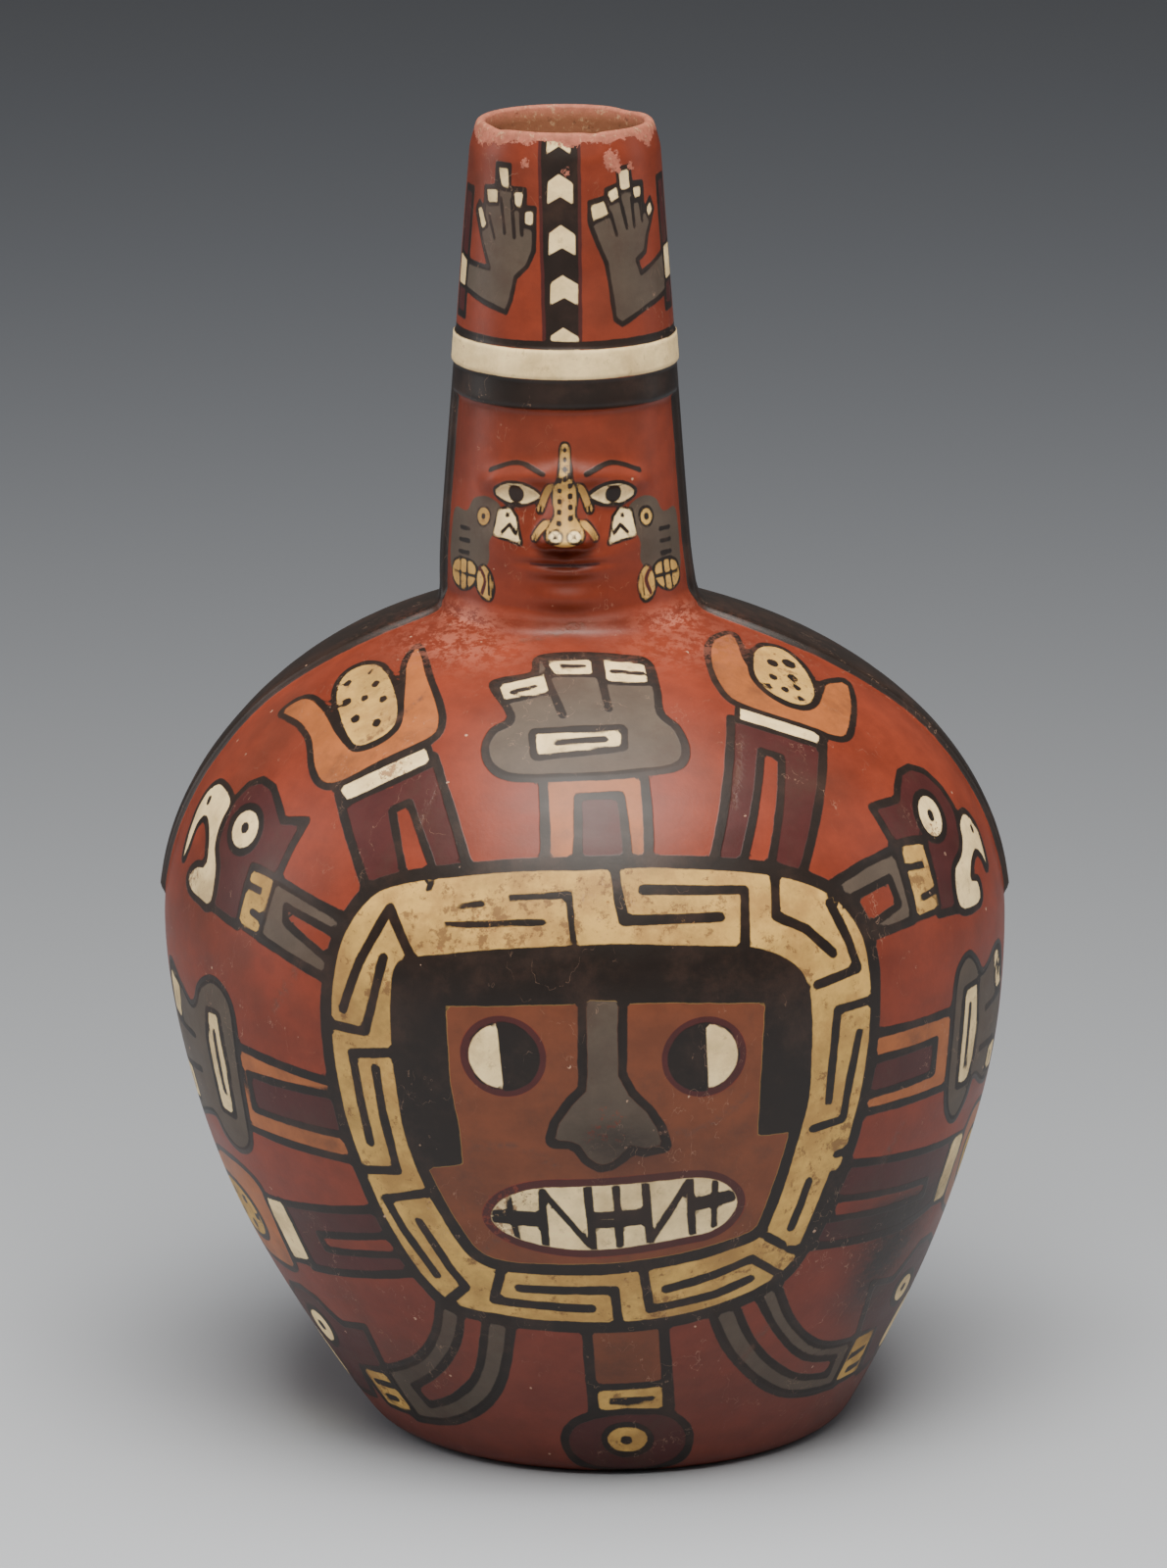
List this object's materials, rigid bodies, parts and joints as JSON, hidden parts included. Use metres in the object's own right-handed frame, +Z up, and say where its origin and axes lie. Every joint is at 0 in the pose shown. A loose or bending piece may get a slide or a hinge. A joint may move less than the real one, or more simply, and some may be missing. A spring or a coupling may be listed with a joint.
{
  "type": "bottle",
  "caption": "Hollow pottery bottle with a round painted body on a flat foot and a tapering neck modelled as a head with a face, a head band and a tall hat, open at the rim.",
  "frame": {"origin": "centre of the flat foot, on the surface that the bottle stands on", "axes": "+Z up, along the neck; the modelled face and the painted face look along -Y; +X is to the viewer's right"},
  "size_m": [0.1418, 0.1411, 0.22],
  "materials": {
    "painted_clay": "burnished slip paint in red, maroon, orange, grey, cream, white and black"
  },
  "bodies": {
    "root": {"bottle": "painted_clay"}
  },
  "joints": []
}
